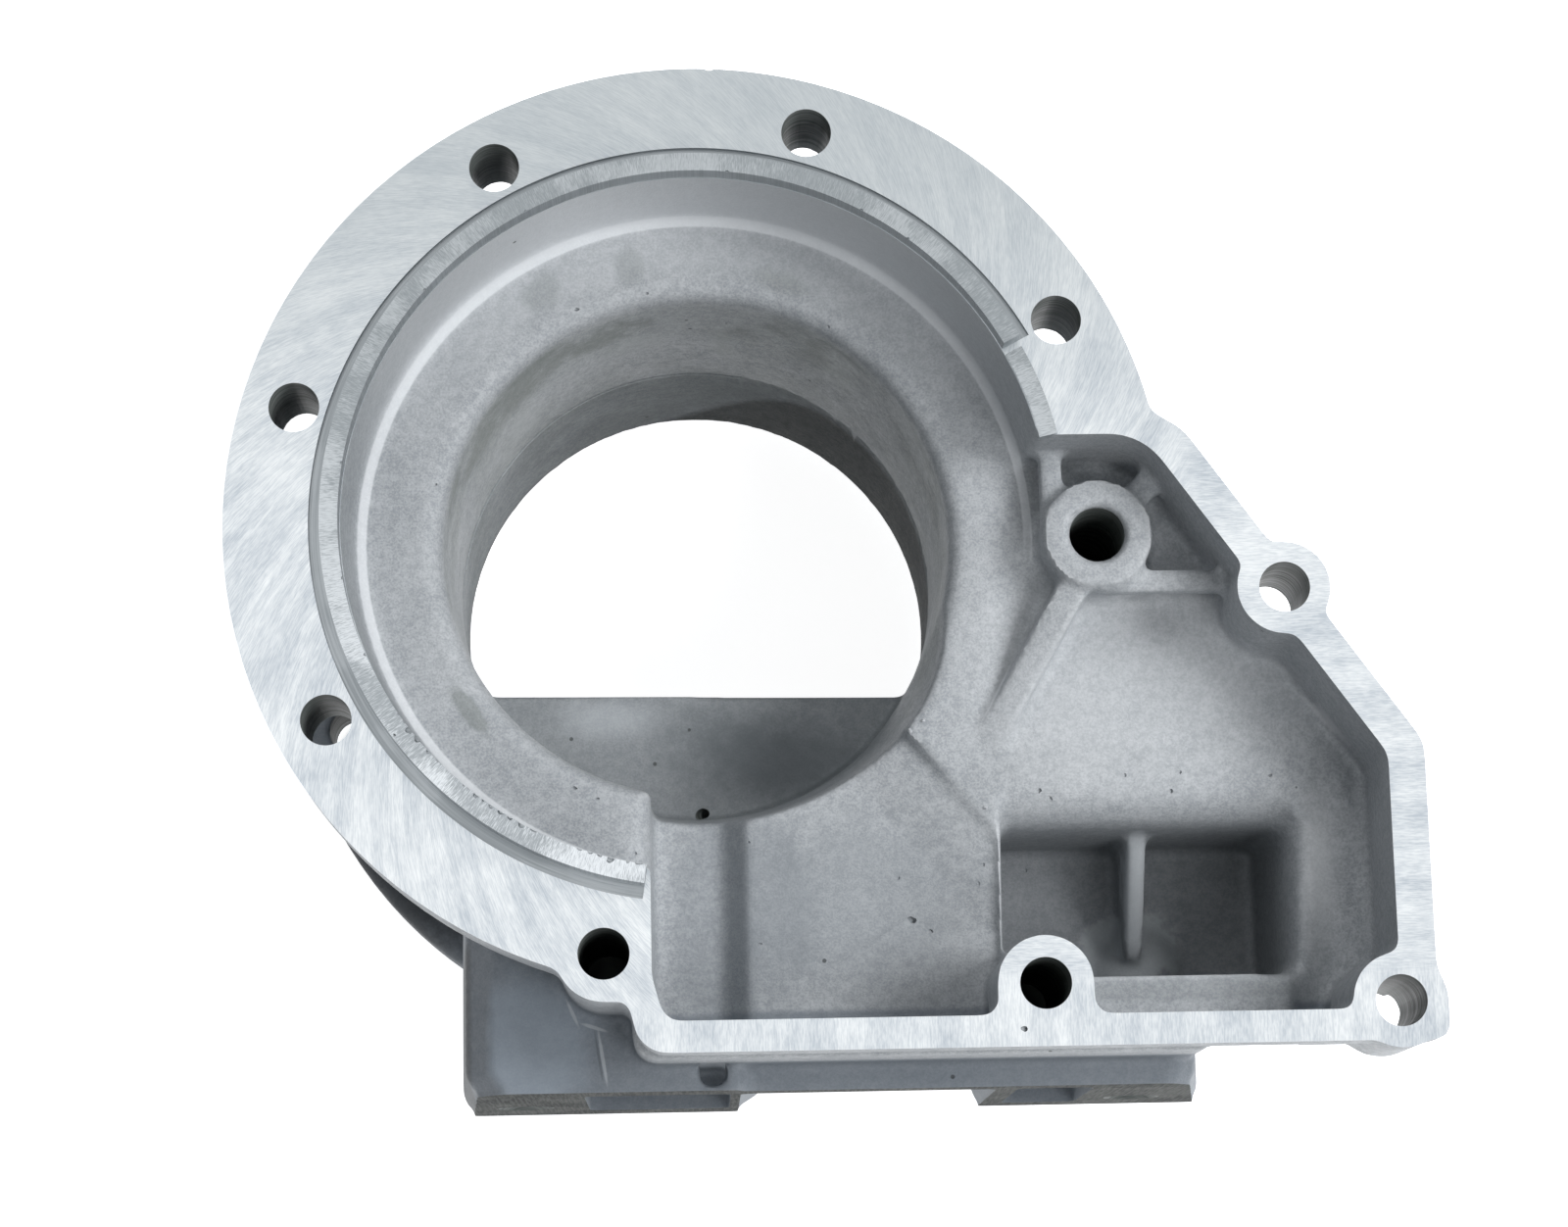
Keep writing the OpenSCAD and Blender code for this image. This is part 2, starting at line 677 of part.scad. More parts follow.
// ribs, shaft boss, web, dam and the domed end of the foot's boss
module inner_forms() {
    intersection() {
        union() {
            // shaft boss and the ribs that leave it
            between(shaft_d, pocket_d + wall_t)
                translate([shaft_x, -shaft_y]) circle(r = shaft_boss_r);
            between(rib_d, ledge_d + past) rib_plan();
            // the long rib that runs out along the bore
            translate([shaft_x, -shaft_y, total_h]) rotate(240) rotate([90, 0, 0])
                translate([0, 0, -long_rib_w / 2 - 0.9]) linear_extrude(long_rib_w) polygon([
                    [0, -rib_d],
                    [shaft_boss_r + 2, -rib_d],
                    [54, -pocket_d - 0.3],
                    [54, -pocket_d - 1],
                    [0, -pocket_d - 1]
                ]);
        }
        between(-past, cell_d + wall_t) difference() {
            union() {
                polygon(rounded(pocket_pts));
                translate([60, -70]) square([30, 87]);
            }
            circle(r = counter_r - 2.5);
        }
    }
    // oil dam across the lower part of the throat
    between(dam_d, dam_d + dam_t) intersection() {
        circle(r = rear_bore_r + 1);
        rotate(dam_turn) translate([-rim_r, -rim_r - dam_drop]) square([2 * rim_r, rim_r]);
    }
    // web in the deep recess, with its front edge sloping down to the boss below it
    bx = foot_hole_gap - foot_hole_left + 1.4;
    top = foot_hole_len + 2;
    translate([web_x - web_t / 2, 0, total_h]) rotate([90, 0, 90]) linear_extrude(web_t)
        polygon([
            [-recess_top + 1, -web_d],
            [-recess_top - recess_h + 9, -web_d - 15],
            [-recess_top - recess_h + 7, -web_d - 17],
            [-recess_top - recess_h + 7, -recess_d - 1],
            [-recess_top + 1, -recess_d - 1]
        ]);
    // the bottom boss runs on down beside the recess
    between(pocket_d - past, recess_d) translate(bottom_boss) circle(r = boss_r);
    // the domed end of the foot's thread boss
    translate([bx, -sole_y + top, total_h - foot_hole_d]) rotate([90, 0, 0]) {
        cylinder(r = foot_boss_r, h = top - sole_y + bottom_y - bottom_wall - 4);
        sphere(r = foot_boss_r);
    }
}

// the two dark cells between the ribs of the shaft boss
module cells_cut() {
    between(-past, cell_d) difference() {
        intersection() {
            pocket_plan();
            polygon([
                [shaft_x - shaft_boss_r + 1, -shaft_y],
                [shaft_x, -shaft_y],
                [shaft_x, shelf_y + 1],
                [side_x, shelf_y + 1],
                [side_x, side_x],
                [shaft_x - shaft_boss_r + 1, side_x]
            ]);
        }
        translate(slope_boss) circle(r = boss_r + 3);
        circle(r = counter_r + 4);
        rib_plan();
    }
}

module holes() {
    between(-past, boss_d + 30) {
        translate(bottom_boss) circle(r = bolt_hole_r);
        rim_places() circle(r = bolt_hole_r);
        translate(corner_boss) circle(r = bolt_hole_r);
        translate(slope_boss) circle(r = bolt_hole_r);
        translate(left_boss) circle(r = bolt_hole_r);
    }
    translate([0, 0, -past]) linear_extrude(rear_t + rear_boss_h + 2 * past)
        rear_places() circle(r = bolt_hole_r);
    between(shaft_d - past, shaft_d + shaft_len)
        translate([shaft_x, -shaft_y]) circle(r = shaft_r);
    at_depth(shaft_d + 1.2) translate([shaft_x, -shaft_y, 0])
        cylinder(r1 = shaft_r, r2 = shaft_r + 1.2, h = 1.201);
    between(dam_d - past, dam_d + dam_t + past)
        translate([0.8, drain_r - throat_r]) circle(r = drain_r);
    foot_places()
        translate([0, 0, -past]) cylinder(r = foot_hole_r, h = foot_hole_len + past);
}

// shallow groove round the outside of the ring
module relief_cut() {
    at_depth(relief_d) rotate(ring_from) rotate_extrude(angle = ring_to - ring_from)
        translate([ring_in_r + ring_w, 0]) square([relief_w, relief_d + past]);
}

module housing() {
    color("gainsboro") difference() {
        union() {
            difference() {
                union() {
                    front_flange();
                    barrel();
                    braces();
                    case_back();
                    feet();
                    pilot_ring();
                }
                relief_cut();
                bore_cut();
                pocket_cut();
                cells_cut();
                recess_cut();
                rear_cores();
            }
            inner_forms();
        }
        holes();
    }
}

housing();
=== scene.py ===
import math
import random

import bpy
import numpy as np
from mathutils import Matrix, Vector


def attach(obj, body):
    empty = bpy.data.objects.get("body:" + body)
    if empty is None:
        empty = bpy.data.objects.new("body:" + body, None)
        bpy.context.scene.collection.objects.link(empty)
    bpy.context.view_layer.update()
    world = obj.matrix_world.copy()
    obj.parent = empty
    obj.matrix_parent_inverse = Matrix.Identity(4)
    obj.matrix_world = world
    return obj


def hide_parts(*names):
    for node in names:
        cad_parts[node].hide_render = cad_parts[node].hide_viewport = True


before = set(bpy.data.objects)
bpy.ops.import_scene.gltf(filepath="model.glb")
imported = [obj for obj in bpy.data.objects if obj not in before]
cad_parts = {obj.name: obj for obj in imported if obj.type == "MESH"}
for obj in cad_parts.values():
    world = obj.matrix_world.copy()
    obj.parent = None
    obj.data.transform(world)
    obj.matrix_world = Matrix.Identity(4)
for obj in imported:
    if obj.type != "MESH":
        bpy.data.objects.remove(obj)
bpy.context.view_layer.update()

# Camera
# It looks down on the casting almost along the bore, a little from the side
# of the feet, and stands where the photograph was taken from.
camera_place = Vector((-0.0023706, -0.1759242, 0.9071928))
camera_right = Vector((0.9995237, -0.0201019, 0.0234153))
camera_up = Vector((0.0150612, 0.9800029, 0.1984125))
camera_turn = Matrix((camera_right, camera_up, camera_right.cross(camera_up))).transposed()
bpy.ops.object.camera_add(location=camera_place)
camera = bpy.context.object
camera.name = "camera"
camera.data.sensor_width = 36.0
camera.data.lens = 83.25
camera.data.clip_start = 0.05
camera.data.clip_end = 20.0
camera.rotation_euler = camera_turn.to_euler()
bpy.context.scene.camera = camera

# Studio
# A white table and a white surround, seen white by the camera and in the
# metal, with a soft lamp on the right and two weaker ones nearer and farther.
bpy.context.scene.view_settings.view_transform = "Standard"


def seen_directly(nodes, links):
    """1 for rays that show a surface as a picture: camera, glossy and transmission rays."""
    path = nodes.new("ShaderNodeLightPath")
    first = nodes.new("ShaderNodeMath")
    first.operation = "MAXIMUM"
    second = nodes.new("ShaderNodeMath")
    second.operation = "MAXIMUM"
    links.new(path.outputs["Is Camera Ray"], first.inputs[0])
    links.new(path.outputs["Is Glossy Ray"], first.inputs[1])
    links.new(first.outputs[0], second.inputs[0])
    links.new(path.outputs["Is Transmission Ray"], second.inputs[1])
    return second.outputs[0]


AMBIENT_LEVEL = 0.2
TABLE_GLOW = 0.9
world = bpy.data.worlds.new("studio")
world.use_nodes = True
bpy.context.scene.world = world
nodes, links = world.node_tree.nodes, world.node_tree.links
background = nodes["Background"]
background.inputs["Color"].default_value = (0.97, 0.985, 1.0, 1)
level = nodes.new("ShaderNodeMapRange")
level.inputs["To Min"].default_value = AMBIENT_LEVEL
level.inputs["To Max"].default_value = 1.0
links.new(seen_directly(nodes, links), level.inputs["Value"])
links.new(level.outputs["Result"], background.inputs["Strength"])

bpy.ops.mesh.primitive_plane_add(size=8.0, location=(0, 0, -0.0004))
table = bpy.context.object
table.name = "table"
table_white = bpy.data.materials.new("table_white")
table_white.use_nodes = True
nodes, links = table_white.node_tree.nodes, table_white.node_tree.links
surface = nodes["Principled BSDF"]
surface.inputs["Base Color"].default_value = (0.86, 0.87, 0.88, 1)
surface.inputs["Roughness"].default_value = 0.8
surface.inputs["Specular IOR Level"].default_value = 0.1
glow = nodes.new("ShaderNodeEmission")
glow.inputs["Color"].default_value = (1, 1, 1, 1)
glow_level = nodes.new("ShaderNodeMath")
glow_level.operation = "MULTIPLY"
glow_level.inputs[1].default_value = TABLE_GLOW
both = nodes.new("ShaderNodeAddShader")
links.new(seen_directly(nodes, links), glow_level.inputs[0])
links.new(glow_level.outputs[0], glow.inputs["Strength"])
links.new(surface.outputs["BSDF"], both.inputs[0])
links.new(glow.outputs["Emission"], both.inputs[1])
links.new(both.outputs["Shader"], nodes["Material Output"].inputs["Surface"])
table.data.materials.append(table_white)


def soft_lamp(name, place, power):
    """A round lamp that points at the casting and leaves no highlight in bare metal."""
    bpy.ops.object.light_add(type="AREA", location=place)
    lamp = bpy.context.object
    lamp.name = name
    lamp.data.shape = "DISK"
    lamp.data.size = 0.45
    lamp.data.energy = power
    lamp.visible_glossy = False
    toward = Vector((0.03, -0.01, 0.1)) - Vector(place)
    lamp.rotation_euler = toward.to_track_quat("-Z", "Y").to_euler()


soft_lamp("lamp_right", (0.75, 0.0, 0.85), 8.9)
soft_lamp("lamp_near", (0.5, -0.5, 0.9), 4.3)
soft_lamp("lamp_far", (0.0, 0.7, 0.9), 2.2)

# Cast skin
# Bare aluminium as it comes out of the mould and the shot blaster: a matte
# grey with fine grain, a few open pores, darker film inside the throat.
# Many lighter and darker zones on it are painted light and painted shade.
MM = 0.001


def join_up(tree, value, socket):
    if isinstance(value, bpy.types.NodeSocket):
        tree.links.new(value, socket)
    elif value is not None:
        socket.default_value = value


def maths(tree, operation, first, second=None):
    node = tree.nodes.new("ShaderNodeMath")
    node.operation = operation
    join_up(tree, first, node.inputs[0])
    join_up(tree, second, node.inputs[1])
    return node.outputs[0]


def times(tree, *values):
    """The product of two or more masks."""
    product = values[0]
    for value in values[1:]:
        product = maths(tree, "MULTIPLY", product, value)
    return product


def off_axis(tree, x, y):
    """Distance from the bore's axis."""
    return maths(tree, "SQRT", maths(tree, "ADD", maths(tree, "POWER", x, 2.0), maths(tree, "POWER", y, 2.0)))


def ramp(tree, value, low, high, start=0.0, end=1.0):
    """Start below low, end above high, and a soft change between them."""
    node = tree.nodes.new("ShaderNodeMapRange")
    node.interpolation_type = "SMOOTHSTEP"
    join_up(tree, value, node.inputs["Value"])
    for name, number in (("From Min", low), ("From Max", high), ("To Min", start), ("To Max", end)):
        node.inputs[name].default_value = number
    return node.outputs["Result"]


def blend(tree, share, first, second):
    node = tree.nodes.new("ShaderNodeMix")
    node.data_type = "RGBA"
    join_up(tree, share, node.inputs[0])
    join_up(tree, first, node.inputs[6])
    join_up(tree, second, node.inputs[7])
    return node.outputs[2]


def speckle(tree, place, scale, detail, roughness):
    node = tree.nodes.new("ShaderNodeTexNoise")
    join_up(tree, place, node.inputs["Vector"])
    join_up(tree, scale, node.inputs["Scale"])
    node.inputs["Detail"].default_value = detail
    node.inputs["Roughness"].default_value = roughness
    return node.outputs[0]


def point_at(tree, x, y, z):
    node = tree.nodes.new("ShaderNodeCombineXYZ")
    for value, socket in zip((x, y, z), node.inputs):
        join_up(tree, value, socket)
    return node.outputs[0]


def new_finish(name, metallic):
    """A material, its tree, its shader, the place on the piece and the place's x, y and z."""
    finish = bpy.data.materials.new(name)
    finish.use_nodes = True
    tree = finish.node_tree
    shader = tree.nodes["Principled BSDF"]
    shader.inputs["Metallic"].default_value = metallic
    place = tree.nodes.new("ShaderNodeTexCoord").outputs["Object"]
    parts = tree.nodes.new("ShaderNodeSeparateXYZ")
    tree.links.new(place, parts.inputs[0])
    return finish, tree, shader, place, parts.outputs


def new_effect(name, inputs, outputs):
    group = bpy.data.node_groups.new(name, "ShaderNodeTree")
    for title, kind in inputs:
        group.interface.new_socket(name=title, in_out="INPUT", socket_type="NodeSocket" + kind)
    for title in outputs:
        group.interface.new_socket(name=title, in_out="OUTPUT", socket_type="NodeSocketFloat")
    return group, group.nodes.new("NodeGroupInput").outputs, group.nodes.new("NodeGroupOutput").inputs


def use_effect(tree, group, **given):
    node = tree.nodes.new("ShaderNodeGroup")
    node.node_tree = group
    for title, value in given.items():
        join_up(tree, value, node.inputs[title])
    return node.outputs


def relief(tree, shader, height, depth):
    node = tree.nodes.new("ShaderNodeBump")
    node.inputs["Strength"].default_value = 1.0
    node.inputs["Distance"].default_value = depth
    join_up(tree, height, node.inputs["Height"])
    tree.links.new(node.outputs["Normal"], shader.inputs["Normal"])


grain, given, out = new_effect(
    "casting_grain", [("Place", "Vector"), ("Fineness", "Float")], ["Tone", "Height", "Pores"]
)
fine = speckle(grain, given["Place"], given["Fineness"], 2.0, 0.7)
coarse = speckle(grain, given["Place"], times(grain, given["Fineness"], 0.3), 2.0, 0.6)
both = maths(grain, "ADD", times(grain, fine, 0.6), times(grain, coarse, 0.4))
join_up(grain, ramp(grain, both, 0.34, 0.66), out["Tone"])
cells = grain.nodes.new("ShaderNodeTexVoronoi")
cells.inputs["Scale"].default_value = 105.0
join_up(grain, given["Place"], cells.inputs["Vector"])
pore = ramp(grain, cells.outputs["Distance"], 0.035, 0.06, 1.0, 0.0)
chosen = grain.nodes.new("ShaderNodeSeparateColor")
grain.links.new(cells.outputs["Color"], chosen.inputs[0])
pore = times(grain, pore, maths(grain, "GREATER_THAN", chosen.outputs[0], 0.72))
join_up(grain, pore, out["Pores"])
join_up(grain, maths(grain, "SUBTRACT", both, pore), out["Height"])

cast_skin, tree, shader, place, (x, y, z) = new_finish("cast_skin", 0.16)


def spot(tree, centre, size, turn, soft):
    """1 inside an uneven oval patch given in millimetres, 0 outside it."""
    node = tree.nodes.new("ShaderNodeMapping")
    node.vector_type = "TEXTURE"
    node.inputs["Location"].default_value = Vector(centre) * MM
    node.inputs["Rotation"].default_value = (0, 0, math.radians(turn))
    node.inputs["Scale"].default_value = Vector(size) * MM
    tree.links.new(place, node.inputs["Vector"])
    length = tree.nodes.new("ShaderNodeVectorMath")
    length.operation = "LENGTH"
    tree.links.new(node.outputs[0], length.inputs[0])
    ragged = times(tree, maths(tree, "SUBTRACT", speckle(tree, place, 220.0, 3.0, 0.6), 0.5), 0.55)
    reach = maths(tree, "ADD", length.outputs["Value"], ragged)
    return ramp(tree, reach, 1.0 - soft, 1.0, 1.0, 0.0)


def tint(tree, colour, mask, share, shade):
    """The colour, with a share of another shade where the mask is 1."""
    return blend(tree, times(tree, mask, share), colour, shade)


skin = use_effect(tree, grain, Place=place, Fineness=1900.0)
blotch = ramp(tree, speckle(tree, place, 24.0, 4.0, 0.6), 0.34, 0.66)
cloud = ramp(tree, speckle(tree, place, 70.0, 4.0, 0.6), 0.36, 0.66)
tone = maths(tree, "ADD", times(tree, skin["Tone"], 0.64), times(tree, blotch, 0.2))
tone = maths(tree, "ADD", tone, times(tree, cloud, 0.16))
colour = blend(tree, tone, (0.265, 0.285, 0.305, 1), (0.465, 0.485, 0.505, 1))
# lighter on outer edges, partly wear and partly painted highlight; darker in inner corners, which is painted
# shade
wear_and_shade = tree.nodes.new("ShaderNodeAttribute")
wear_and_shade.attribute_name = "edge_wear_highlight_and_shade"
colour = tint(tree, colour, ramp(tree, wear_and_shade.outputs["Fac"], 0.15, 0.9), 0.4, (0.6, 0.62, 0.64, 1))
colour = tint(tree, colour, ramp(tree, wear_and_shade.outputs["Fac"], -0.15, -0.9), 0.45, (0.18, 0.195, 0.205, 1))

# the greenish film of the mould wash in the throat, patchy and thickest at the upper lip
from_axis = off_axis(tree, x, y)
in_throat = ramp(tree, from_axis, 61.5 * MM, 58 * MM)
film = times(
    tree, in_throat,
    ramp(tree, z, 116.5 * MM, 110.5 * MM),
    ramp(tree, z, 84 * MM, 99 * MM, 0.45, 1.0),
    ramp(tree, y, -25 * MM, 30 * MM, 0.5, 1.0),
)
patchy = ramp(tree, speckle(tree, place, 42.0, 5.0, 0.62), 0.36, 0.62)
colour = tint(tree, colour, film, ramp(tree, patchy, 0.0, 1.0, 0.3, 0.85), (0.15, 0.17, 0.163, 1))

# painted shade below the core's parting, in the dark crescent low on the side of the pocket, and on the dam
lower = times(tree, in_throat, ramp(tree, z, 57 * MM, 55.5 * MM))
colour = tint(tree, colour, lower, 0.16, (0.13, 0.15, 0.152, 1))
over_crescent = maths(tree, "SUBTRACT", z, ramp(tree, x, -12 * MM, 34 * MM, 6 * MM, 53 * MM))
crescent = times(
    tree, in_throat, ramp(tree, over_crescent, 4 * MM, -4 * MM), ramp(tree, y, -40 * MM, 5 * MM)
)
colour = tint(tree, colour, crescent, 0.88, (0.025, 0.03, 0.03, 1))
painted_shade_on_dam = times(tree, in_throat, ramp(tree, z, 74 * MM, 70 * MM), ramp(tree, y, -24 * MM, -28 * MM))
colour = tint(tree, colour, painted_shade_on_dam, 0.5, (0.15, 0.165, 0.175, 1))

# painted shade on the outer walls, in the deep recess and on the end of the left foot
outer = times(
    tree,
    maths(tree, "MAXIMUM", ramp(tree, y, -103 * MM, -105 * MM), ramp(tree, x, -12 * MM, -18 * MM)),
    ramp(tree, z, 116 * MM, 112 * MM),
    ramp(tree, from_axis, 66 * MM, 72 * MM),
)
colour = tint(tree, colour, outer, 0.72, (0.14, 0.165, 0.195, 1))
recess_painted_shade = times(
    tree,
    ramp(tree, x, 64 * MM, 66 * MM),
    ramp(tree, x, 140 * MM, 136 * MM),
    ramp(tree, y, -100.5 * MM, -99.5 * MM),
    ramp(tree, y, -46 * MM, -52 * MM),
    ramp(tree, z, 112 * MM, 88 * MM),
    ramp(tree, z, 66 * MM, 68 * MM),
)
colour = tint(tree, colour, recess_painted_shade, 0.62, (0.12, 0.13, 0.14, 1))
foot_end_painted_shade = times(tree, ramp(tree, x, -50.5 * MM, -52 * MM), ramp(tree, y, -86 * MM, -90 * MM))
colour = tint(tree, colour, foot_end_painted_shade, 0.85, (0.09, 0.095, 0.1, 1))

# painted light on the far side of the counterbore, painted shade on its left wall, and a painted highlight
# along the fillet at its foot
far_side_painted_light = times(
    tree,
    ramp(tree, y, 5 * MM, 60 * MM),
    ramp(tree, from_axis, 60 * MM, 66 * MM),
    ramp(tree, from_axis, 79 * MM, 78 * MM),
)
lighter = ramp(tree, from_axis, 72 * MM, 76 * MM, 0.22, 0.75)
colour = tint(tree, colour, far_side_painted_light, lighter, (0.66, 0.685, 0.71, 1))
left_wall_painted_shade = times(
    tree,
    ramp(tree, from_axis, 75.1 * MM, 75.9 * MM),
    ramp(tree, from_axis, 79.5 * MM, 78.5 * MM),
    ramp(tree, x, -20 * MM, -60 * MM),
)
colour = tint(tree, colour, left_wall_painted_shade, 0.4, (0.15, 0.165, 0.175, 1))
painted_highlight_line = times(
    tree,
    ramp(tree, from_axis, 72.9 * MM, 73.4 * MM),
    ramp(tree, from_axis, 75.3 * MM, 74.9 * MM),
    ramp(tree, z, 117.5 * MM, 118.2 * MM),
    ramp(tree, z, 124 * MM, 122 * MM),
)
colour = tint(tree, colour, painted_highlight_line, 0.6, (0.72, 0.745, 0.77, 1))

# patches: centre, size and turn about Z, then how soft the edge, the share and the shade
for centre, size, turn, soft, share, shade in [
    # scuff on the counterbore's floor, then painted light and painted shade on the dam
    ((-50.3, -37.5, 116), (8.5, 2.7, 9), -55, 0.4, 0.6, (0.19, 0.21, 0.205, 1)),
    ((-21, -31.5, 69), (18, 7, 4), 0, 0.8, 0.34, (0.5, 0.53, 0.56, 1)),
    ((18, -42, 69), (38, 15, 4), -8, 0.8, 0.85, (0.12, 0.135, 0.145, 1)),
    # painted light on the side trough's bed and the shallow floor
    ((136.5, -80, 116), (6.5, 30, 9), 0, 0.9, 0.6, (0.74, 0.76, 0.78, 1)),
    ((98, -33, 118), (50, 36, 9), 0, 0.6, 0.27, (0.62, 0.645, 0.67, 1)),
    # painted shade on the plateau and the channel beside it
    ((36, -80, 114), (33, 27, 10), 0, 0.5, 0.42, (0.2, 0.22, 0.24, 1)),
    ((14, -82, 112), (13, 32, 12), 0, 0.5, 0.42, (0.2, 0.22, 0.24, 1)),
    # light lines along the edges of the side trough, and bluish painted shade on the front of the left foot
    ((149.2, -76, 117), (0.9, 26, 9), 0, 0.7, 0.5, (0.7, 0.72, 0.74, 1)),
    ((140.5, -44, 117), (13, 0.9, 6), -49, 0.7, 0.5, (0.7, 0.72, 0.74, 1)),
    ((-38, -110, 111), (18, 20, 3), 0, 0.5, 0.45, (0.36, 0.42, 0.49, 1)),
    # stains on the lip, the plateau, the channel and the throat
    ((-34, 58, 118), (5.5, 7, 6), -40, 0.6, 0.35, (0.2, 0.22, 0.22, 1)),
    ((-14, 64, 118), (4.5, 6.5, 6), 0, 0.6, 0.35, (0.2, 0.22, 0.22, 1)),
    ((20, 60, 118), (9, 3.5, 6), -20, 0.7, 0.3, (0.2, 0.22, 0.21, 1)),
    ((28.5, -66.5, 116), (4.5, 5.5, 5), 0, 0.7, 0.35, (0.22, 0.24, 0.25, 1)),
    ((3, -84, 106), (12, 33, 20), 0, 0.4, 0.4, (0.2, 0.22, 0.24, 1)),
    ((5, -79, 116), (9, 8, 5), 0, 0.8, 0.2, (0.22, 0.24, 0.25, 1)),
    ((7, 55.5, 84), (3.5, 5, 13), 0, 0.6, 0.45, (0.36, 0.385, 0.385, 1)),
    ((-13, 54, 88), (10, 6, 8), 0, 0.7, 0.35, (0.36, 0.385, 0.39, 1)),
    ((34, 44, 92), (6, 7, 12), 0, 0.6, 0.3, (0.34, 0.365, 0.36, 1)),
    # painted shadow on the corner of the rear flange, painted light on the web and its domed boss, painted
    # shade on the strip below
    ((-78, -62, 10), (34, 34, 22), 0, 0.6, 0.8, (0.02, 0.023, 0.026, 1)),
    ((98.6, -73, 88), (3, 27, 18), 0, 0.3, 0.55, (0.52, 0.55, 0.575, 1)),
    ((99, -90, 66), (15, 14, 16), 0, 0.2, 0.5, (0.46, 0.49, 0.51, 1)),
    ((105, -101.3, 116), (33, 3, 7), 0, 0.4, 0.35, (0.2, 0.22, 0.23, 1)),
    # flash lines down the left foot and round the bolt boss above it, painted as light lines, with a painted
    # shade line beside the one down the foot
    ((-22.1, -113.4, 111), (0.5, 7.4, 4), 9, 0.5, 0.6, (0.5, 0.53, 0.56, 1)),
    ((-22.9, -113.4, 111), (0.4, 7.2, 4), 9, 0.5, 0.55, (0.1, 0.11, 0.125, 1)),
    ((-28.6, -103.6, 111), (0.5, 4.2, 4), 24, 0.5, 0.6, (0.5, 0.53, 0.56, 1)),
    ((-24, -106.8, 111), (3.6, 0.5, 4), -18, 0.5, 0.6, (0.5, 0.53, 0.56, 1)),
    # painted light high on the left of the throat
    ((-40, 39, 76), (9, 9, 12), 0, 0.7, 0.4, (0.42, 0.445, 0.455, 1)),
]:
    colour = tint(tree, colour, spot(tree, centre, size, turn, soft), share, shade)
# the pores are coloured dark: painted shade inside them
colour = tint(tree, colour, skin["Pores"], 0.8, (0.05, 0.055, 0.055, 1))
tree.links.new(colour, shader.inputs["Base Color"])
tree.links.new(ramp(tree, tone, 0.0, 1.0, 0.66, 0.5), shader.inputs["Roughness"])
relief(tree, shader, skin["Height"], 0.11 * MM)

# below the parting of the core a copy of the skin without a shine paints shade low in the throat
dull_shaded_skin = cast_skin.copy()
dull_shaded_skin.name = "dull_shaded_skin"
shader = dull_shaded_skin.node_tree.nodes["Principled BSDF"]
shader.inputs["Metallic"].default_value = 0.0
shader.inputs["Specular IOR Level"].default_value = 0.04

# Housing blank
# The housing is one gravity casting in aluminium, with rounded inner and
# outer corners everywhere. The blank stands proud of every face that is
# machined later, so those faces come out flat and sharp-edged.
FACE_Z = 143 * MM
SOLE_Y = -121 * MM
STOCK = 4 * MM


def grab(piece):
    """Selects one piece alone."""
    bpy.ops.object.select_all(action="DESELECT")
    piece.select_set(True)
    bpy.context.view_layer.objects.active = piece


def finish_with(piece, kind, **settings):
    """Adds a modifier and applies it."""
    grab(piece)
    step = piece.modifiers.new(kind.lower(), kind)
    for name, value in settings.items():
        setattr(step, name, value)
    bpy.ops.object.modifier_apply(modifier=step.name)


def join_shape(piece, tool, operation, finish=cast_skin):
    """Adds, cuts or keeps the tool's space, with the tool's finish on the new faces; removes the tool."""
    tool.data.materials.clear()
    tool.data.materials.append(finish)
    finish_with(
        piece, "BOOLEAN", operation=operation, object=tool, solver="MANIFOLD", material_mode="TRANSFER"
    )
    bpy.data.objects.remove(tool)


def block(low, high):
    """A box between two corners."""
    low, high = Vector(low), Vector(high)
    bpy.ops.mesh.primitive_cube_add(size=1, location=(low + high) / 2, scale=high - low)
    bpy.ops.object.transform_apply()
    return bpy.context.object


def move_points(piece, chosen, shift):
    """Moves the points that chosen(point) picks; the faces between them and the rest stretch."""
    for group in (piece.data.polygons, piece.data.edges, piece.data.vertices):
        group.foreach_set("select", [False] * len(group))
    for vertex in piece.data.vertices:
        vertex.select = chosen(vertex.co)
    grab(piece)
    bpy.ops.object.mode_set(mode="EDIT")
    bpy.ops.mesh.select_mode(type="VERT")
    bpy.ops.transform.translate(value=shift)
    bpy.ops.object.mode_set(mode="OBJECT")


def add_stock(piece, level, outward, amount):
    """Moves all that lies past a level outward, so that the walls there run on."""
    move_points(piece, lambda point: point.dot(outward) > level - 1e-5, Vector(outward) * amount)


casting = bpy.data.objects.new("housing_casting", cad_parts["housing"].data.copy())
bpy.context.scene.collection.objects.link(casting)
casting.data.materials.clear()
casting.data.materials.append(cast_skin)
grab(casting)
bpy.ops.object.mode_set(mode="EDIT")
bpy.ops.mesh.select_all(action="SELECT")
bpy.ops.mesh.remove_doubles(threshold=1e-6)
bpy.ops.object.mode_set(mode="OBJECT")


# the floors of the two small cells by the shaft boss lie only a little below its ribs
CELL_FLOOR = 98
CELL_FILL = 19 * MM


def on_cell_floor(point):
    x, y, z = point / MM
    return abs(z - CELL_FLOOR) < 0.05 and 70 < x < 126 and -24 < y < 34


move_points(casting, on_cell_floor, (0, 0, CELL_FILL))
finish_with(casting, "REMESH", mode="VOXEL", voxel_size=1.0 * MM)

